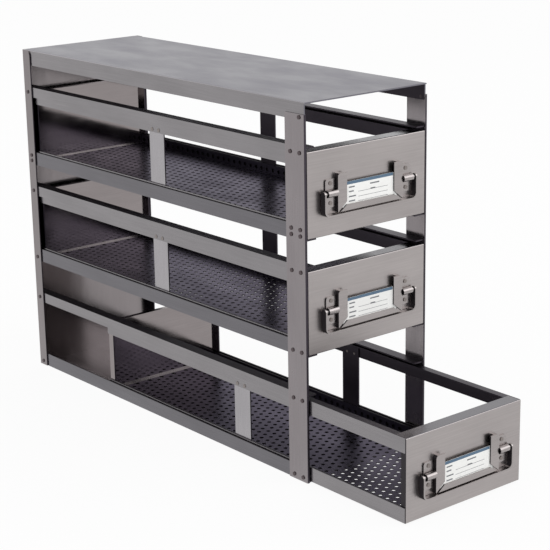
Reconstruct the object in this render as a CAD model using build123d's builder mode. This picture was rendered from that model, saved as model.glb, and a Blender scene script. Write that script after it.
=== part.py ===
from build123d import *
import os

# Freezer drawer rack of folded stainless sheet, with three open-sided drawers.
# Millimetres. The front faces -Y, X runs to the right as seen from the front, and Z is up.
# The origin is the middle of the back panel's lower edge, on which the rack stands.

# The rack as a whole
rack_width = 140.0
rack_depth = 430.0
level_feet = {"bottom": 0.0, "middle": 113.0, "top": 214.0}
top_level_height = 101.0
sheet = 1.2
fold_radius = 1.0

# Top cover
cover_flange = 15.0

# Front posts and back panel
post_width = 24.0
post_overlap = 5.0
back_flange = 13.0
back_flange_corner = 6.0

# Rails of the rack, measured up from the foot of a level
support_height = 13.0
support_ledge = 12.0
guide_gap = 2.8
guide_height = 10.0
guide_ledge = 10.5

# Drawers
side_clearance = 0.6
run_clearance = 0.3
rear_gap = 8.0
drawer_height = 73.5
top_return = 13.0
edge_return = 5.0
side_return = 7.0
rim_height = 13.0
rim_ledge = 7.0
base_height = 13.0
base_ledge = 7.0
floor_sheet = 1.0
floor_clearance = 0.3
floor_upturn = 12.0
strap_width = 22.0
pulled_out = {"bottom": 117.0, "middle": 0.0, "top": 0.0}

# Handles, measured down from a drawer's top edge and out from the card holder's sides
pivot_drop = 37.5
bracket_gap = 0.5
bracket_width = 11.0
bracket_height = 24.0
bracket_corner = 2.5
bracket_rivet_reach = 8.4
pivot_stand = 3.2
barrel_diameter = 6.2
barrel_wall = 1.2
pin_clearance = 0.2
pin_engagement = 8.0
bail_gap = 2.7
bail_reach = 18.6
bail_strip = 5.5
bail_thickness = 1.6
bail_corner = 5.0

# Card holder and card, measured from the edges of a drawer front
holder_setback = 30.0
holder_drop = 21.7
holder_height = 32.6
holder_stand = 4.2
holder_lip = 10.0
holder_foot = 5.0
holder_face = 1.2
holder_slit = 2.8
holder_slit_rise = 3.0
holder_corner = 2.5
card_thickness = 0.4
card_margin = 4.0
card_drop = 30.2
card_play = 0.4

# Rivets
rivet_diameter = 2.4
rivet_hole_play = 0.1
rivet_head = 3.6
rivet_head_height = 0.6
flush_head_height = 0.3
post_rivet_setbacks = (6.0, 17.5)
back_rivet_setback = 6.5
support_rivet_heights = {"bottom": (4.0,), "middle": (4.0,), "top": (4.0, 9.5)}
strap_rivet_spacing = 10.0
strap_rivet_rise = 2.6

# Places that follow from the sizes above
half_width = rack_width / 2
rack_back = sheet / 2
rack_front = rack_back - rack_depth
rack_height = level_feet["top"] + top_level_height + cover_flange
post_height = rack_height - cover_flange + post_overlap
rail_front = rack_front + sheet
rail_back = rack_back - sheet
rail_face = half_width - sheet
rail_inside = rail_face - sheet
drawer_face = rail_inside - side_clearance
drawer_inside = drawer_face - sheet
return_inside = drawer_inside - sheet
floor_half = return_inside - floor_clearance
low_fold_half = floor_half - floor_sheet - floor_clearance
drawer_length = rack_depth - sheet - rear_gap
drawer_rise = sheet + run_clearance
guide_top = drawer_rise + drawer_height + guide_gap + sheet
holder_width = 2 * (drawer_face - holder_setback)
bracket_x = holder_width / 2 + bracket_gap + bracket_width / 2
bail_x = bracket_x + (bracket_width + bail_thickness) / 2 + bail_gap
barrel_bore = barrel_diameter - 2 * barrel_wall
pin_diameter = barrel_bore - 2 * pin_clearance
holder_opening = holder_width - 2 * holder_lip
card_width = holder_opening + 2 * card_margin
cover_rivet_z = rack_height - cover_flange + post_overlap / 2

os.makedirs("parts", exist_ok=True)


def save(piece, name):
    piece.part.label = name
    export_step(piece.part, f"parts/{name}.step")


def block(u_low, u_high, v_low, v_high, mode=Mode.ADD):
    # a rectangle between two corners, in the open sketch
    with Locations(((u_low + u_high) / 2, (v_low + v_high) / 2)):
        Rectangle(abs(u_high - u_low), abs(v_high - v_low), mode=mode)


def across(y):
    # the upright plane that cuts the rack at this depth, seen from the front
    return Plane.XZ.offset(-y)


def bore_side(face_x, points):
    # rivet holes along X through the sheet whose outer face is at face_x
    with BuildSketch(Plane.YZ.offset(face_x)) as holes:
        with Locations(*points):
            Circle(rivet_diameter / 2 + rivet_hole_play)
    extrude(holes.sketch, amount=1.5 * sheet, both=True, mode=Mode.SUBTRACT)


def rivet_heights(level):
    # heights of one level's rivets: the support rail's rows and the guide rail's row
    foot = level_feet[level]
    support = [foot + height for height in support_rivet_heights[level]]
    return support, [foot + guide_top - guide_height / 2]


def rivet_points(heights):
    # (front, back) rivet places on one side of the rack at these heights
    front = [(rack_front + setback, z) for z in heights for setback in post_rivet_setbacks]
    back = [(rack_back - back_rivet_setback, z) for z in heights]
    return front, back


def all_heights():
    heights = []
    for level in level_feet:
        support, guide = rivet_heights(level)
        heights += support + guide
    return heights


cover_point = (rack_front + post_rivet_setbacks[0], cover_rivet_z)


def make_cover():
    # flat top with both long sides folded down, flush with the posts at the front
    with BuildPart() as cover:
        with BuildSketch(across(rail_back)):
            block(-rail_face, rail_face, rack_height - sheet, rack_height)
            for side in (-1, 1):
                block(side * rail_face, side * rail_inside, rack_height - cover_flange, rack_height)
        extrude(amount=rail_back - rail_front)
        with BuildSketch(across(rail_front)):
            block(-rail_face, rail_face, rack_height - sheet, rack_height)
        extrude(amount=sheet)
        outer = cover.edges().filter_by(Axis.Y).group_by(Axis.Z)[-1]
        fillet(outer, fold_radius)
        for side in (-1, 1):
            bore_side(side * rail_face, [cover_point])
    return cover


def make_back_panel():
    # one sheet over the whole back, its side edges folded forward
    _, back_points = rivet_points(all_heights())
    with BuildPart() as panel:
        with BuildSketch(Plane.XY):
            block(-half_width, half_width, rack_back - sheet, rack_back)
            for side in (-1, 1):
                block(side * half_width, side * rail_face, rack_back - back_flange, rack_back)
        extrude(amount=rack_height)
        corners = panel.edges().filter_by(Axis.X).group_by(Axis.Z)[-1].group_by(Axis.Y)[0]
        fillet(corners, back_flange_corner)
        folds = panel.edges().filter_by(Axis.Z).group_by(Axis.Y)[-1]
        fillet(folds, fold_radius)
        for side in (-1, 1):
            bore_side(side * half_width, back_points)
    return panel


def make_front_post(side):
    # upright strip on the rack's side, with a lip as deep as two sheets at the front
    front_points, _ = rivet_points(all_heights())
    with BuildPart() as post:
        with BuildSketch(Plane.XY):
            block(side * half_width, side * rail_face, rack_front, rack_front + post_width)
            block(side * half_width, side * rail_inside, rack_front, rack_front + sheet)
        extrude(amount=post_height)
        corner = post.edges().filter_by(Axis.Z).group_by(Axis.Y)[0].sort_by(Axis.X)
        fillet(corner[0 if side < 0 else -1], fold_radius)
        bore_side(side * half_width, front_points + [cover_point])
    return post


def make_support_rail(side, level):
    # angle whose ledge carries one side of a drawer
    foot = level_feet[level]
    support, _ = rivet_heights(level)
    front_points, back_points = rivet_points(support)
    with BuildPart() as rail:
        with BuildSketch(across(rail_back)):
            block(side * rail_face, side * rail_inside, foot, foot + support_height)
            block(side * rail_face, side * (rail_face - support_ledge), foot, foot + sheet)
        extrude(amount=rail_back - rail_front)
        bore_side(side * rail_face, front_points + back_points)
    return rail


def make_bottom_panel():
    # flat sheet that closes the rack's underside, between the ledges of the lowest rails
    with BuildPart() as panel:
        with BuildSketch(across(rail_back)):
            block(support_ledge - rail_face, rail_face - support_ledge, 0, sheet)
        extrude(amount=rail_back - rail_front)
    return panel


def make_guide_rail(side, level):
    # angle over the drawer's rim, which keeps a pulled drawer level
    top = level_feet[level] + guide_top
    _, guide = rivet_heights(level)
    front_points, back_points = rivet_points(guide)
    with BuildPart() as rail:
        with BuildSketch(across(rail_back)):
            block(side * rail_face, side * rail_inside, top - guide_height, top)
            block(side * rail_face, side * (rail_face - guide_ledge), top - sheet, top)
        extrude(amount=rail_back - rail_front)
        bore_side(side * rail_face, front_points + back_points)
    return rail


def make_side_rivet(side, face_x, shank, head_height, point):
    # one rivet along X in the open part: a shank through two sheets and a low head outside
    outward = Plane.YZ.offset(side * face_x)
    with BuildSketch(outward) as stem:
        with Locations(point):
            Circle(rivet_diameter / 2)
    extrude(stem.sketch, amount=-side * shank)
    with BuildSketch(outward) as head:
        with Locations(point):
            Circle(rivet_head / 2)
    extrude(head.sketch, amount=side * head_height)


def make_frame_rivets():
    front_points, back_points = rivet_points(all_heights())
    with BuildPart() as rivets:
        for side in (-1, 1):
            for point in front_points + back_points + [cover_point]:
                make_side_rivet(side, half_width, 2 * sheet, rivet_head_height, point)
    return rivets


save(make_cover(), "top_cover")
save(make_back_panel(), "back_panel")
save(make_bottom_panel(), "bottom_panel")
save(make_frame_rivets(), "frame_rivets")
for side_name, side in (("left", -1), ("right", 1)):
    save(make_front_post(side), f"front_post_{side_name}")
    for level in level_feet:
        save(make_support_rail(side, level), f"support_rail_{level}_{side_name}")
        save(make_guide_rail(side, level), f"guide_rail_{level}_{side_name}")


class DrawerPlace:
    # where one drawer's faces lie at rest
    def __init__(self, level):
        self.front = rack_front - pulled_out[level]
        self.back = self.front + drawer_length
        self.bottom = level_feet[level] + drawer_rise
        self.top = self.bottom + drawer_height
        self.floor_top = self.bottom + sheet + floor_sheet
        self.pivot_y = self.front - pivot_stand
        self.pivot_z = self.top - pivot_drop
        self.strap_y = (self.front + self.back) / 2
        self.strap_rivet_z = self.top - rim_height + strap_rivet_rise


def strap_points(place):
    return [(place.strap_y + step * strap_rivet_spacing / 2, place.strap_rivet_z) for step in (-1, 1)]


def bracket_points(place):
    return [
        (side * bracket_x, place.pivot_z + step * bracket_rivet_reach)
        for side in (-1, 1)
        for step in (-1, 1)
    ]


def make_drawer_front(place):
    # front sheet with its top and side edges folded back, and a fold that holds the floor down
    inner_y = place.front + sheet
    with BuildPart() as front:
        with BuildSketch(across(inner_y)):
            block(-drawer_face, drawer_face, place.bottom, place.top)
        extrude(amount=sheet)
        with BuildSketch(across(place.front + top_return)):
            block(-drawer_inside, drawer_inside, place.top - sheet, place.top)
        extrude(amount=top_return - sheet)
        with BuildSketch(across(place.front + edge_return)):
            block(-low_fold_half, low_fold_half, place.floor_top, place.floor_top + sheet)
        extrude(amount=edge_return - sheet)
        with BuildSketch(across(place.front + side_return)):
            for side in (-1, 1):
                block(side * drawer_inside, side * return_inside,
                      place.bottom + base_height, place.top - rim_height)
        extrude(amount=side_return - sheet)
        with BuildSketch(across(inner_y)):
            with Locations(*bracket_points(place)):
                Circle(rivet_diameter / 2 + rivet_hole_play)
        extrude(amount=sheet, mode=Mode.SUBTRACT)
        folds = front.edges().filter_by(Axis.X).group_by(Axis.Y)[0]
        fillet(folds, fold_radius)
    return front


def make_drawer_back(place):
    # back sheet between the side rails, with the same folds turned forward
    inner_y = place.back - sheet
    with BuildPart() as back:
        with BuildSketch(across(place.back)):
            block(-drawer_inside, drawer_inside, place.bottom, place.top)
        extrude(amount=sheet)
        with BuildSketch(across(inner_y)):
            block(-drawer_inside, drawer_inside, place.top - sheet, place.top)
            block(-low_fold_half, low_fold_half, place.floor_top, place.floor_top + sheet)
        extrude(amount=edge_return - sheet)
        with BuildSketch(across(inner_y)):
            for side in (-1, 1):
                block(side * drawer_inside, side * return_inside,
                      place.bottom + base_height, place.top - rim_height)
        extrude(amount=side_return - sheet)
    return back


def make_drawer_rim(side, place):
    # angle along the top of a drawer's side
    with BuildPart() as rim:
        with BuildSketch(across(place.back)):
            block(side * drawer_face, side * drawer_inside, place.top - rim_height, place.top)
        extrude(amount=drawer_length - sheet)
        with BuildSketch(across(place.back - edge_return)):
            block(side * drawer_face, side * (drawer_face - rim_ledge), place.top - sheet, place.top)
        extrude(amount=drawer_length - edge_return - top_return)
        bore_side(side * drawer_face, strap_points(place))
    return rim


def make_drawer_base(side, place):
    # angle along the bottom of a drawer's side, which carries the floor
    with BuildPart() as base:
        with BuildSketch(across(place.back)):
            block(side * drawer_face, side * drawer_inside, place.bottom, place.bottom + base_height)
        extrude(amount=drawer_length - sheet)
        with BuildSketch(across(place.back - edge_return)):
            block(side * drawer_face, side * (drawer_face - base_ledge),
                  place.bottom, place.bottom + sheet)
        extrude(amount=drawer_length - 2 * edge_return)
    return base


def make_drawer_strap(side, place):
    # upright strip in the middle of a drawer's side, between the rim's and the base's ledges
    with BuildPart() as strap:
        with BuildSketch(Plane.YZ.offset(side * return_inside)):
            block(place.strap_y - strap_width / 2, place.strap_y + strap_width / 2,
                  place.bottom + sheet, place.top - sheet)
        extrude(amount=side * sheet)
        bore_side(side * drawer_inside, strap_points(place))
    return strap


def make_drawer_floor(place):
    # tray with its sides turned up, which lies on the base rails' ledges under the low folds
    underside = place.bottom + sheet
    with BuildPart() as tray:
        with BuildSketch(across(place.back - sheet - floor_clearance)):
            block(-floor_half, floor_half, underside, place.floor_top)
            for side in (-1, 1):
                block(side * floor_half, side * (floor_half - floor_sheet),
                      underside, place.bottom + floor_upturn)
        extrude(amount=drawer_length - 2 * sheet - 2 * floor_clearance)
    return tray


def make_brackets(place):
    # two strips riveted to the front, each rolled into a barrel in its middle
    with BuildPart() as brackets:
        for side in (-1, 1):
            centre = side * bracket_x
            with BuildSketch(across(place.front)):
                with Locations((centre, place.pivot_z)):
                    RectangleRounded(bracket_width, bracket_height, bracket_corner)
            extrude(amount=sheet)
            with BuildSketch(Plane.YZ.offset(centre - bracket_width / 2)):
                with Locations((place.pivot_y, place.pivot_z)):
                    Circle(barrel_diameter / 2)
            extrude(amount=bracket_width)
            with BuildSketch(Plane.YZ.offset(centre - bracket_width / 2)):
                with Locations((place.pivot_y, place.pivot_z)):
                    Circle(barrel_bore / 2)
            extrude(amount=bracket_width, mode=Mode.SUBTRACT)
        with BuildSketch(across(place.front)):
            with Locations(*bracket_points(place)):
                Circle(rivet_diameter / 2 + rivet_hole_play)
        extrude(amount=sheet, mode=Mode.SUBTRACT)
    return brackets


def make_drawer_rivets(place):
    # bracket rivets through the front, and low-headed ones through the rims and straps
    with BuildPart() as rivets:
        with BuildSketch(across(place.front + sheet)):
            with Locations(*bracket_points(place)):
                Circle(rivet_diameter / 2)
        extrude(amount=2 * sheet)
        with BuildSketch(across(place.front - sheet)):
            with Locations(*bracket_points(place)):
                Circle(rivet_head / 2)
        extrude(amount=rivet_head_height)
        for side in (-1, 1):
            for point in strap_points(place):
                make_side_rivet(side, drawer_face, 2 * sheet, flush_head_height, point)
    return rivets


def make_bail(place):
    # flat strip bent into a U, its round ends carrying the pins that turn in the barrels
    low = place.pivot_z - bail_reach
    inner = bail_x - bail_thickness / 2
    pin_length = bail_gap + pin_engagement
    with BuildPart() as bail:
        with BuildSketch(across(place.pivot_y + bail_strip / 2)):
            with BuildLine():
                FilletPolyline((-bail_x, place.pivot_z), (-bail_x, low), (bail_x, low),
                               (bail_x, place.pivot_z), radius=bail_corner)
            trace(line_width=bail_thickness)
        extrude(amount=bail_strip)
        for side in (-1, 1):
            with BuildSketch(Plane.YZ.offset(side * inner)):
                with Locations((place.pivot_y, place.pivot_z)):
                    Circle(bail_strip / 2)
            extrude(amount=side * bail_thickness)
            with BuildSketch(Plane.YZ.offset(side * inner)):
                with Locations((place.pivot_y, place.pivot_z)):
                    Circle(pin_diameter / 2)
            extrude(amount=-side * pin_length)
    return bail


def make_card_holder(place):
    # U-shaped frame that stands off the front, open at the top, with a pocket behind its lips
    top = place.top - holder_drop
    low = top - holder_height
    half = holder_width / 2
    half_opening = holder_opening / 2
    half_pocket = card_width / 2 + card_play
    with BuildPart() as holder:
        with BuildSketch(across(place.front)) as outline:
            block(-half, half, low, top)
            fillet(outline.vertices().group_by(Axis.Y)[-1], holder_corner)
            block(-half_opening, half_opening, low + holder_foot, top + holder_lip, mode=Mode.SUBTRACT)
        extrude(amount=holder_stand)
        with BuildSketch(across(place.front)):
            block(-half_pocket, half_pocket, low + holder_foot - card_margin + card_play, top + holder_lip)
        extrude(amount=holder_stand - holder_face, mode=Mode.SUBTRACT)
        with BuildSketch(across(place.front - holder_stand + holder_face)):
            for side in (-1, 1):
                with BuildLine():
                    inner = side * half_opening
                    outer = side * half
                    rise = low + holder_foot + holder_slit_rise
                    Polyline((inner, rise), (inner, rise - holder_slit),
                             (outer - side * holder_slit, low), (outer, low), (inner, rise))
                make_face()
        extrude(amount=holder_face, mode=Mode.SUBTRACT)
    return holder


def make_card(place):
    # bare label card that stands in the holder's pocket, against the back of its lips
    top = place.top - card_drop
    low = place.top - holder_drop - holder_height + holder_foot - card_margin + card_play
    card_face = place.front - holder_stand + holder_face
    with BuildPart() as card:
        with BuildSketch(across(card_face + card_thickness)):
            block(-card_width / 2, card_width / 2, low, top)
        extrude(amount=card_thickness)
    return card


for level in level_feet:
    place = DrawerPlace(level)
    name = f"drawer_{level}"
    save(make_drawer_front(place), f"{name}_front")
    save(make_drawer_back(place), f"{name}_back")
    save(make_drawer_floor(place), f"{name}_floor")
    save(make_brackets(place), f"{name}_brackets")
    save(make_drawer_rivets(place), f"{name}_rivets")
    save(make_card_holder(place), f"{name}_card_holder")
    save(make_card(place), f"{name}_card")
    save(make_bail(place), f"{name}_bail")
    for side_name, side in (("left", -1), ("right", 1)):
        save(make_drawer_rim(side, place), f"{name}_rim_{side_name}")
        save(make_drawer_base(side, place), f"{name}_base_{side_name}")
        save(make_drawer_strap(side, place), f"{name}_strap_{side_name}")
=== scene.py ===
import math

import bpy
from mathutils import Matrix, Vector


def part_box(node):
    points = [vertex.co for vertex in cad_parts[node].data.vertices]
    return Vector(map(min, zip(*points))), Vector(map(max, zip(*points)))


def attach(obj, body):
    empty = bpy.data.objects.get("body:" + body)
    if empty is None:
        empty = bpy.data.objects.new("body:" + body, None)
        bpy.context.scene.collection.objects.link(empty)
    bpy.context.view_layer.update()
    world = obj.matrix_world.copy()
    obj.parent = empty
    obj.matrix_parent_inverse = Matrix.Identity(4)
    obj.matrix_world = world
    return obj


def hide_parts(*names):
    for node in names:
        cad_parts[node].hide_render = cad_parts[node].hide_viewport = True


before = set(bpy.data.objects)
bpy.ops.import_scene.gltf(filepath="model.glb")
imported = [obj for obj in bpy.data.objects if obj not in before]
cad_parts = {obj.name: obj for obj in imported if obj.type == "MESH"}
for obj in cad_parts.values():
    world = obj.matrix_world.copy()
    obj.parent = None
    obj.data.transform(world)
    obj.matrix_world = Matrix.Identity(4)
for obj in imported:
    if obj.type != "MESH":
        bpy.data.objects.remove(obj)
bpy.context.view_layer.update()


# Camera: it stands off the rack's left front corner, a little above the cover, and looks down
# the open side. The lens is long, so the rack's upright edges stay nearly parallel.
camera_place = Vector((-0.9153, -1.4160, 0.5600))
camera_azimuth = math.radians(-39.48)
camera_elevation = math.radians(16.03)
camera_roll = math.radians(-0.98)
lens_mm = 107.1
sensor_mm = 36.0


def put_in_scene(name, data):
    made = bpy.data.objects.new(name, data)
    bpy.context.scene.collection.objects.link(made)
    return made


level_right = Vector((math.cos(camera_azimuth), math.sin(camera_azimuth), 0))
backward = Vector((math.sin(camera_azimuth) * math.cos(camera_elevation),
                   -math.cos(camera_azimuth) * math.cos(camera_elevation),
                   math.sin(camera_elevation)))
level_up = backward.cross(level_right)
right = level_right * math.cos(camera_roll) + level_up * math.sin(camera_roll)
up = level_up * math.cos(camera_roll) - level_right * math.sin(camera_roll)
turned = Matrix((right, up, backward)).transposed().to_4x4()

camera_data = bpy.data.cameras.new("camera")
camera_data.lens = lens_mm
camera_data.sensor_width = sensor_mm
camera = put_in_scene("camera", camera_data)
camera.matrix_world = Matrix.Translation(camera_place) @ turned
bpy.context.scene.camera = camera


# Rack shell: top cover, back and bottom panels, two front posts and the rails between them. All
# are cut and folded from cold-rolled stainless sheet 1.2 mm thick, with its fine rolling grain
# outside, and held together by pressed rivets. Faces that look into the rack, the inner sides,
# ledges and edges of the rails, the posts' front faces and the back panel's front edges are
# painted dark as shade, and the cover's outer side flanges take the brighter guide-rail tone
# as painted light.
level_names = ("bottom", "middle", "top")
side_names = ("left", "right")
mm = 0.001


def linear(hex_colour):
    # a hex sRGB colour as the linear RGBA that a shader socket takes
    channels = [int(hex_colour[i:i + 2], 16) / 255 for i in (1, 3, 5)]
    return [c / 12.92 if c <= 0.04045 else ((c + 0.055) / 1.055) ** 2.4 for c in channels] + [1.0]


def add_node(tree, kind, inputs=None, **settings):
    # one shader node: its settings, and a number, colour or other node's output on each input
    made = tree.nodes.new(kind)
    for name, value in settings.items():
        setattr(made, name, value)
    for name, value in (inputs or {}).items():
        if isinstance(value, bpy.types.NodeSocket):
            tree.links.new(value, made.inputs[name])
        else:
            made.inputs[name].default_value = value
    return made


def new_material(name):
    made = bpy.data.materials.new(name)
    made.use_nodes = True
    made.node_tree.nodes.clear()
    return made


def stretched(axis, across, along):
    # a mapping scale that draws a pattern this wide across the grain and this long along it
    return tuple(1 / along if letter == axis else 1 / across for letter in "XYZ")


def cold_rolled_stainless(name, colour, grain_axis, roughness, edge_tint="#ffffff"):
    # Cold-rolled 304 stainless with a fine grain: the rolls leave faint lines along the sheet,
    # which stretch each reflection across them, and handling leaves soft, slightly duller clouds.
    # Real rolling lines are about 0.1 mm apart. They are drawn 0.7 mm apart so that they show.
    # The edge tint is what is left of a reflection seen along the sheet, all of it as a rule.
    line_spacing, line_length, line_depth = 0.7 * mm, 45 * mm, 0.05 * mm
    cloud_width, cloud_length = 26 * mm, 60 * mm
    steel = new_material(name)
    tree = steel.node_tree
    place = add_node(tree, "ShaderNodeTexCoord").outputs["Object"]
    lines_place = add_node(tree, "ShaderNodeMapping", {
        "Vector": place, "Scale": stretched(grain_axis, line_spacing, line_length)})
    lines = add_node(tree, "ShaderNodeTexNoise", {
        "Vector": lines_place.outputs["Vector"], "Scale": 1.0, "Detail": 4.0, "Roughness": 0.6})
    clouds_place = add_node(tree, "ShaderNodeMapping", {
        "Vector": place, "Scale": stretched(grain_axis, cloud_width, cloud_length)})
    clouds = add_node(tree, "ShaderNodeTexNoise", {
        "Vector": clouds_place.outputs["Vector"], "Scale": 1.0, "Detail": 3.0, "Roughness": 0.55})
    tone = add_node(tree, "ShaderNodeMapRange", {
        "Value": lines.outputs["Fac"],
        "From Min": 0.3, "From Max": 0.7, "To Min": 0.93, "To Max": 1.05})
    cloud_tone = add_node(tree, "ShaderNodeMapRange", {
        "Value": clouds.outputs["Fac"],
        "From Min": 0.3, "From Max": 0.7, "To Min": 0.93, "To Max": 1.06})
    both = add_node(tree, "ShaderNodeMath", {
        0: tone.outputs["Result"], 1: cloud_tone.outputs["Result"]}, operation="MULTIPLY")
    shade = add_node(tree, "ShaderNodeVectorMath", {
        0: linear(colour)[:3], "Scale": both.outputs[0]}, operation="SCALE")
    dullness = add_node(tree, "ShaderNodeMapRange", {
        "Value": clouds.outputs["Fac"], "From Min": 0.35, "From Max": 0.7,
        "To Min": roughness - 0.05, "To Max": roughness + 0.07})
    relief = add_node(tree, "ShaderNodeBump", {
        "Height": lines.outputs["Fac"], "Strength": 0.06, "Distance": line_depth})
    surface = add_node(tree, "ShaderNodeBsdfPrincipled", {
        "Base Color": shade.outputs["Vector"], "Metallic": 1.0, "Specular Tint": linear(edge_tint),
        "Roughness": dullness.outputs["Result"], "Normal": relief.outputs["Normal"]})
    add_node(tree, "ShaderNodeOutputMaterial", {"Surface": surface.outputs["BSDF"]})
    return steel


def dress(node_name, material, *others):
    # A CAD node keeps its shape and takes this finish. Each of the others is a finish and a test
    # that picks the faces which take it, and a face goes to the first that picks it.
    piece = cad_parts[node_name]
    piece.data.materials.clear()
    piece.data.materials.append(material)
    for other, picks in others:
        piece.data.materials.append(other)
    for face in piece.data.polygons:
        taken = (place for place, (other, picks) in enumerate(others, 1) if picks(face))
        face.material_index = next(taken, 0)


# a face looks a way when its normal lies within about 45 degrees of it
facing = 0.7


def outward(face):
    # 1 where a face looks straight out at the rack's nearer side, and -1 where it looks inward
    return face.normal.x * math.copysign(1, face.center.x)


def faces_outward(face):
    return outward(face) > facing


def faces_inward(face):
    return outward(face) < -facing


def not_outermost(face):
    # the inner side, ledges and edges of an angle, which are painted dark as shade
    return outward(face) < facing


def faces_front(face):
    return face.normal.y < -facing


def front_edges(node_name):
    # the sheared front edges of a back sheet's folds, which are painted dark as shade
    low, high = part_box(node_name)
    return lambda face: faces_front(face) and face.center.y < low.y + 1 * mm


cover_steel = cold_rolled_stainless("cover_stainless", "#76747c", "Y", 0.36)
guide_steel = cold_rolled_stainless("guide_rail_stainless", "#8a8789", "Y", 0.2)
support_steel = cold_rolled_stainless("support_rail_stainless", "#706e72", "Y", 0.2)
upright_steel = cold_rolled_stainless("upright_stainless", "#8c8688", "Z", 0.22)
panel_steel = cold_rolled_stainless("back_panel_stainless", "#878182", "Z", 0.18)
underside_steel = cold_rolled_stainless("bottom_panel_stainless", "#878182", "Y", 0.18)
# painted shade: a dark tone for faces inside the rack and the drawers, where shade falls
painted_shade_steel = cold_rolled_stainless("painted_shade_stainless", "#443f46", "Y", 0.42)

# the cover's inward faces take painted shade, and its outer side flanges the brighter guide-rail
# tone as painted light
dress("top_cover", cover_steel, (painted_shade_steel, faces_inward), (guide_steel, faces_outward))
dress("back_panel", panel_steel,
      (painted_shade_steel, faces_inward), (painted_shade_steel, front_edges("back_panel")))
dress("bottom_panel", underside_steel)
for side in side_names:
    # the posts' front faces, and the rails' inner sides, ledges and edges, take painted shade
    dress(f"front_post_{side}", upright_steel, (painted_shade_steel, faces_front))
    for level in level_names:
        dress(f"support_rail_{level}_{side}", support_steel, (painted_shade_steel, not_outermost))
        dress(f"guide_rail_{level}_{side}", guide_steel, (painted_shade_steel, not_outermost))


# Rivets: pressed from the same stainless, with low round heads. Those of the frame are dulled
# dark by the press tool. Those of the drawers are burnished nearly as bright as the sheet.
rivet_steel = cold_rolled_stainless("pressed_rivet_stainless", "#5d5456", "X", 0.42)
burnished_steel = cold_rolled_stainless("burnished_rivet_stainless", "#8a8380", "X", 0.36)
dress("frame_rivets", rivet_steel)
for level in level_names:
    dress(f"drawer_{level}_rivets", burnished_steel)


# Drawer bodies: front and back sheets with folded edges, and the angle rails and straps between
# them. The fronts are a shade warmer and brighter than the rack, with their grain across. Their
# side edges are painted dark as shade, and the upper faces of their folds take the darker
# support-rail tone as painted shade. The backs are bright-annealed and mirror the dark floors.
front_steel = cold_rolled_stainless("drawer_front_stainless", "#a7a1a0", "X", 0.34)
# painted shade: a dark tone for side faces, cut edges and hole walls, where shade falls
painted_shade_side_steel = cold_rolled_stainless("painted_shade_side_stainless", "#3c393c", "Z", 0.5)
bright_steel = cold_rolled_stainless("bright_annealed_stainless", "#8c8585", "X", 0.1)
strap_steel = cold_rolled_stainless("strap_stainless", "#a4a1a4", "Z", 0.24)


def faces_sideways(face):
    return abs(face.normal.x) > facing


def faces_up(face):
    return face.normal.z > facing


def lower_fold(node_name):
    # the upper side of a back sheet's lower fold, beside the rear end of the floor
    low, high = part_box(node_name)
    return lambda face: faces_up(face) and face.center.z < (low.z + high.z) / 2


for level in level_names:
    # the fronts' side edges take painted shade, and the upper faces of their folds the darker
    # support-rail tone as painted shade
    dress(f"drawer_{level}_front", front_steel,
          (painted_shade_side_steel, faces_sideways), (support_steel, faces_up))
    back = f"drawer_{level}_back"
    # the backs' front edges take painted shade
    dress(back, bright_steel, (support_steel, lower_fold(back)), (painted_shade_steel, front_edges(back)))
    for side in side_names:
        # the inner sides, ledges and edges of the rims, bases and straps take painted shade
        dress(f"drawer_{level}_rim_{side}", guide_steel, (painted_shade_steel, not_outermost))
        dress(f"drawer_{level}_base_{side}", guide_steel, (painted_shade_steel, not_outermost))
        dress(f"drawer_{level}_strap_{side}", strap_steel, (painted_shade_steel, not_outermost))


# Drawer floors: stainless sheet punched with staggered round holes before its sides are turned
# up inside the base rails. The holes are real openings. Their walls and the sheet's cut edges are
# painted dark as shade, and the sheet's dark base tone, and the edge tint that dims it where it
# is seen along its surface, are painted shade of the drawers' insides.
hole_radius = 1.95 * mm
hole_pitch = 8.6 * mm
hole_sides = 16
floor_sheet = 1.0 * mm
# the points of two faces are one point when they round to the same tenth of a micrometre
rounding_per_metre = 1e7

# painted shade: the floor's dark base tone and edge tint stand in for the shade inside the drawers
floor_steel = cold_rolled_stainless(
    "punched_stainless", "#4c4852", "Y", 0.3, edge_tint="#dedbe4")


def punched_flat(floor_width, upturn, length):
    # The tray before folding: u runs across both upturns and the floor, v along the tray. Each
    # hole sits in its own cell, and every second column of cells is shifted by half a pitch.
    column_count = round(floor_width / (hole_pitch * math.sin(math.radians(60))))
    row_count = round(length / hole_pitch)
    pitch = length / row_count
    half = pitch / 2
    edges = [-floor_width / 2 - upturn]
    edges += [-floor_width / 2 + floor_width * i / column_count for i in range(column_count + 1)]
    edges.append(floor_width / 2 + upturn)
    turns = [2 * math.pi * i / hole_sides for i in range(hole_sides)]
    points, index, faces = [], {}, []

    def point(u, v):
        key = (round(u * rounding_per_metre), round(v * rounding_per_metre))
        if key not in index:
            index[key] = len(points)
            points.append((u, v))
        return index[key]

    for column, (low, high) in enumerate(zip(edges, edges[1:])):
        middle = (low + high) / 2
        shifted = column % 2 == 1
        start = half if shifted else 0
        holes = row_count - 1 if shifted else row_count
        if shifted:
            for v_low, v_high in ((0, half), (length - half, length)):
                faces.append([point(low, v_low), point(middle, v_low), point(high, v_low),
                              point(high, v_high), point(middle, v_high), point(low, v_high)])
        for row in range(holes):
            v = start + pitch * (row + 0.5)
            corners = [(high, v), (high, v + half), (middle, v + half), (low, v + half),
                       (low, v), (low, v - half), (middle, v - half), (high, v - half)]
            outer = [point(*corner) for corner in corners]
            inner = [point(middle + hole_radius * math.cos(turn), v + hole_radius * math.sin(turn))
                     for turn in turns]
            step = hole_sides // len(outer)
            for i in range(len(outer)):
                rim = [inner[(i * step + k) % hole_sides] for k in range(step, -1, -1)]
                faces.append([outer[i], outer[(i + 1) % len(outer)]] + rim)
    return points, faces


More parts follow.
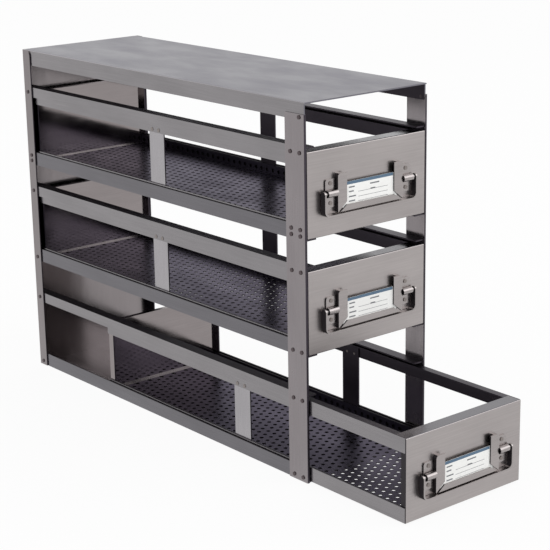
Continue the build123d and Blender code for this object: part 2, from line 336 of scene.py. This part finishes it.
def folded(point, floor_width, height, front):
    # where a point of the flat tray lies once its sides are turned up
    u, v = point
    over = max(abs(u) - floor_width / 2, 0)
    return (max(-floor_width / 2, min(floor_width / 2, u)), front + v, height + over)


for level in level_names:
    low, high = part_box(f"drawer_{level}_floor")
    width = high.x - low.x
    points, faces = punched_flat(width, high.z - low.z, high.y - low.y)
    mesh = bpy.data.meshes.new(f"punched_floor_{level}")
    mesh.from_pydata([folded(point, width, low.z, low.y) for point in points], [], faces)
    mesh.update()
    mesh.materials.append(floor_steel)
    # the hole walls and the tray's cut edges take painted shade
    mesh.materials.append(painted_shade_side_steel)
    floor = put_in_scene(f"punched_floor_{level}", mesh)
    thickness = floor.modifiers.new("sheet", "SOLIDIFY")
    thickness.thickness = floor_sheet
    thickness.offset = 1.0
    thickness.use_even_offset = True
    thickness.material_offset_rim = 1
    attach(floor, f"drawer_{level}")
    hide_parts(f"drawer_{level}_floor")


# Handles: each front carries two brackets of bent strip, a bail of flat strip that swings in
# them, and a folded card holder. They are satin stainless, with the sheared edges and broad
# faces of the strip that they are cut from, and the faces that look sideways, the holder's
# mitres included, are painted dark as shade.
handle_steel = cold_rolled_stainless("handle_stainless", "#a39d9c", "X", 0.26)
slanting = 0.3


def cut_edges(face):
    # the upright and slanting cut edges of the card holder, mitres included, which take painted
    # shade
    return abs(face.normal.x) > slanting


for level in level_names:
    for piece in ("brackets", "bail"):
        # the sideways faces of the brackets and the bail take painted shade
        dress(f"drawer_{level}_{piece}", handle_steel, (painted_shade_side_steel, faces_sideways))
    dress(f"drawer_{level}_card_holder", handle_steel, (painted_shade_side_steel, cut_edges))


# Label cards: matt white card stock, laser-printed with a blue-grey header bar and plain short
# rules where a user would write. There are no words on them. Each card slides into its holder
# from above and rests against the back of the holder's lips.
def fine_grained(name, colour, grain, tones, roughness, detail=2.0):
    # A plain coat whose tone varies a little from grain to grain: the fibres of card stock give
    # it a soft matt face, and laser toner lies on it as a thin, slightly glossy, uneven layer.
    coat = new_material(name)
    tree = coat.node_tree
    place = add_node(tree, "ShaderNodeTexCoord").outputs["Object"]
    grains = add_node(tree, "ShaderNodeTexNoise", {
        "Vector": place, "Scale": 1 / grain, "Detail": detail})
    tone = add_node(tree, "ShaderNodeMapRange", {
        "Value": grains.outputs["Fac"], "To Min": tones[0], "To Max": tones[1]})
    shade = add_node(tree, "ShaderNodeVectorMath", {
        0: linear(colour)[:3], "Scale": tone.outputs["Result"]}, operation="SCALE")
    surface = add_node(tree, "ShaderNodeBsdfPrincipled", {
        "Base Color": shade.outputs["Vector"], "Roughness": roughness})
    add_node(tree, "ShaderNodeOutputMaterial", {"Surface": surface.outputs["BSDF"]})
    return coat


card_stock = fine_grained("card_stock", "#f4f4f2", 1.2 * mm, (0.97, 1.0), 0.6, detail=3.0)
header_ink = fine_grained("header_toner", "#4f6a82", 0.4 * mm, (0.85, 1.15), 0.45)
rule_ink = fine_grained("rule_toner", "#707277", 0.4 * mm, (0.85, 1.15), 0.45)
print_lift = 0.05 * mm
header_height = 2.6 * mm
edge_bare = 4.5 * mm
# each rule in mm: its left end, its drop below the header, its length and its thickness
line_labels = [(2.5, 2.0, 6.5, 1.1), (2.5, 5.7, 5.5, 1.1),
               (2.5, 10.0, 8.0, 1.1), (2.5, 13.9, 7.0, 1.1)]
title_rules = [(26.5, 2.2, 10.5, 1.1), (27.0, 6.6, 5.5, 1.1)]
writing_lines = [(13.0, drop, 34.0, 0.3) for drop in (7.4, 11.6, 15.4)]

for level in level_names:
    dress(f"drawer_{level}_card", card_stock)
    low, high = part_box(f"drawer_{level}_card")
    face_y = low.y - print_lift
    left = low.x + edge_bare
    bars = [(header_ink, left, high.x - edge_bare, high.z - header_height, high.z)]
    for start, drop, length, thickness in line_labels + title_rules + writing_lines:
        begin = left + start * mm
        top = high.z - header_height - drop * mm
        bars.append((rule_ink, begin, left + (start + length) * mm, top - thickness * mm, top))
    points, faces = [], []
    for ink, bar_left, bar_right, bar_low, bar_top in bars:
        first = len(points)
        points += [(bar_left, face_y, bar_low), (bar_right, face_y, bar_low),
                   (bar_right, face_y, bar_top), (bar_left, face_y, bar_top)]
        faces.append((first, first + 1, first + 2, first + 3))
    print_mesh = bpy.data.meshes.new(f"card_print_{level}")
    print_mesh.from_pydata(points, [], faces)
    for ink in (header_ink, rule_ink):
        print_mesh.materials.append(ink)
    for face, bar in zip(print_mesh.polygons, bars):
        face.material_index = 0 if bar[0] is header_ink else 1
    card_print = put_in_scene(f"card_print_{level}", print_mesh)
    toner = card_print.modifiers.new("toner", "SOLIDIFY")
    toner.thickness = print_lift
    toner.offset = 0
    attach(card_print, f"drawer_{level}")


# Studio: a wide pale floor, which keeps the rack's soft shadow, a white surround that the
# camera sees and the steel mirrors, and three large lamps at a plain level.
floor_reach = 6.0
floor_whiteness = 0.93
surround_light = 0.8
lamps = (
    # name, place in metres, width in metres and power in watts
    ("key", (1.3, -1.9, 1.5), 1.9, 16.0),
    ("fill", (-1.9, -1.3, 1.2), 1.6, 6.0),
    ("back", (-0.6, 2.2, 1.8), 1.6, 6.0),
)
aim = Vector((0, -0.25, 0.16))


def seen_or_mirrored(tree):
    # 1 on rays from the camera, off polished metal or through glass, and 0 on soft light
    rays = add_node(tree, "ShaderNodeLightPath")
    mirrored = add_node(tree, "ShaderNodeMath", {
        0: rays.outputs["Is Camera Ray"], 1: rays.outputs["Is Glossy Ray"]}, operation="MAXIMUM")
    through = add_node(tree, "ShaderNodeMath", {
        0: mirrored.outputs[0], 1: rays.outputs["Is Transmission Ray"]}, operation="MAXIMUM")
    return through.outputs[0]


floor_paint = new_material("studio_floor")
tree = floor_paint.node_tree
matt = add_node(tree, "ShaderNodeBsdfDiffuse", {"Color": linear("#efefef")})
glow = add_node(tree, "ShaderNodeEmission", {"Color": linear("#ffffff"), "Strength": 1.0})
share = add_node(tree, "ShaderNodeMath", {
    0: seen_or_mirrored(tree), 1: floor_whiteness}, operation="MULTIPLY")
mix = add_node(tree, "ShaderNodeMixShader", {
    0: share.outputs[0], 1: matt.outputs["BSDF"], 2: glow.outputs["Emission"]})
add_node(tree, "ShaderNodeOutputMaterial", {"Surface": mix.outputs["Shader"]})

ground_mesh = bpy.data.meshes.new("studio_floor")
corners = [(-1, -1), (1, -1), (1, 1), (-1, 1)]
ground_mesh.from_pydata([(x * floor_reach, y * floor_reach, 0) for x, y in corners],
                        [], [(0, 1, 2, 3)])
ground_mesh.materials.append(floor_paint)
ground = put_in_scene("studio_floor", ground_mesh)

world = bpy.data.worlds.new("studio")
world.use_nodes = True
bpy.context.scene.world = world
tree = world.node_tree
tree.nodes.clear()
level_light = add_node(tree, "ShaderNodeMapRange", {
    "Value": seen_or_mirrored(tree), "To Min": surround_light, "To Max": 1.0})
surround = add_node(tree, "ShaderNodeBackground", {
    "Color": linear("#ffffff"), "Strength": level_light.outputs["Result"]})
add_node(tree, "ShaderNodeOutputWorld", {"Surface": surround.outputs["Background"]})

for name, spot, size, power in lamps:
    lamp_data = bpy.data.lights.new(name, "AREA")
    lamp_data.size = size
    lamp_data.energy = power
    lamp = put_in_scene(name, lamp_data)
    lamp.location = spot
    lamp.rotation_euler = (aim - Vector(spot)).to_track_quat("-Z", "Y").to_euler()

bpy.context.scene.view_settings.view_transform = "Standard"
